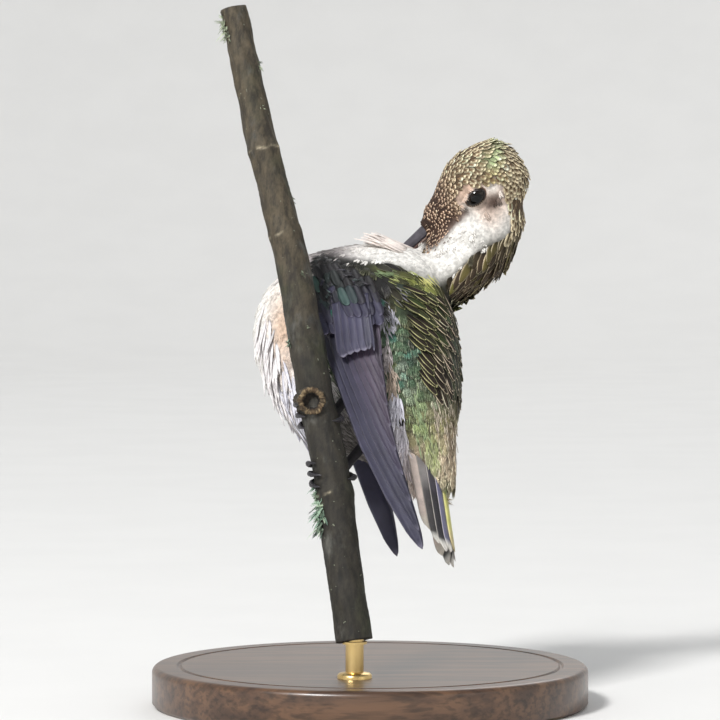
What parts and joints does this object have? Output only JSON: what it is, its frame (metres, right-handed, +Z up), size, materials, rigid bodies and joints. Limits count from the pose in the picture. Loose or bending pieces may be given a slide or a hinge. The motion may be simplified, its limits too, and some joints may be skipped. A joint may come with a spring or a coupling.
{
  "type": "hummingbird model",
  "caption": "Life-size model of a female or young ruby-throated hummingbird preening its breast on an upright twig, on a plain round display stand.",
  "frame": {"origin": "centre of the flat underside of the stand's base", "axes": "+Z up; the bird's belly faces -X, its left side and the front of the display face -Y"},
  "size_m": [0.054, 0.054, 0.0864],
  "materials": {
    "plumage": "soft body feathers, white and buff below, bronze green above",
    "crown": "small scale-like head feathers, olive brown with cream edges",
    "coverts": "green iridescent wing coverts",
    "flight_feathers": "dusky purple-grey flight feathers",
    "tail_feathers": "green tail feathers with dark bands and white tips",
    "bill_horn": "satin dark horn",
    "eye": "wet black gloss",
    "foot_scales": "dark scaled skin",
    "bark": "grey-brown twig bark with lichen",
    "rod": "satin brass",
    "plinth": "dark polished wood"
  },
  "bodies": {
    "root": {"trunk": "plumage", "neck": "plumage", "head": "crown", "bill_upper": "bill_horn", "bill_lower": "bill_horn", "eye_left": "eye", "eye_right": "eye", "wing_left_arm": "coverts", "wing_left_primaries": "flight_feathers", "wing_left_secondaries": "flight_feathers", "wing_right_arm": "coverts", "wing_right_primaries": "flight_feathers", "wing_right_secondaries": "flight_feathers", "tail": "tail_feathers", "leg_left": "foot_scales", "leg_right": "foot_scales", "foot_left": "foot_scales", "foot_right": "foot_scales", "perch_twig": "bark", "stand_rod": "rod", "stand_base": "plinth"}
  },
  "joints": []
}
